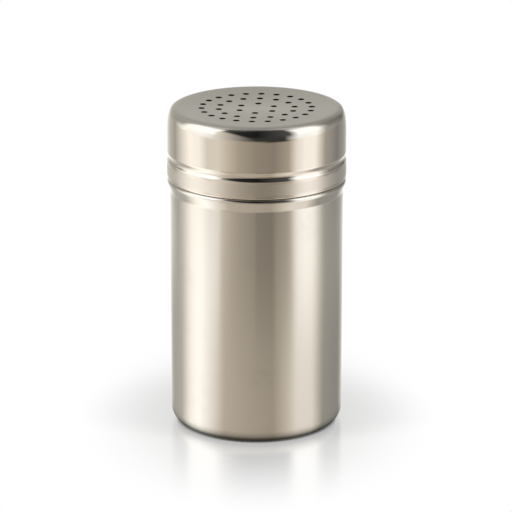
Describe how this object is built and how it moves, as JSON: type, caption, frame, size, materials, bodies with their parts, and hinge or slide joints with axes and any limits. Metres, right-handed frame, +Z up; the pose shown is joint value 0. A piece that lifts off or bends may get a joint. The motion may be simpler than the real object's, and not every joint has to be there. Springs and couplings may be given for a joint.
{
  "type": "restaurant spice shaker",
  "caption": "Round stainless steel shaker: a straight can with a shoulder bead, and a push-on cap with a perforated, slightly dished top and a gripping groove.",
  "frame": {"origin": "on the shaker's axis, in the plane of the foot ring that it stands on", "axes": "+Z up along the axis of the can and cap; +Y away from the viewer, close to the spoke on which the rings of holes start"},
  "size_m": [0.0698, 0.0698, 0.1271],
  "materials": {
    "satin_steel": "satin stainless steel, soft vertical reflections, fine lines round the wall",
    "polished_steel": "polished stainless steel, sharp reflections"
  },
  "bodies": {
    "can": {"can": "satin_steel"},
    "cap": {"cap": "polished_steel"}
  },
  "joints": [
    {"name": "cap_lift", "type": "slide", "parent": "can", "child": "cap", "axis": [0, 0, 1], "range_m": [0, 0.05]}
  ]
}
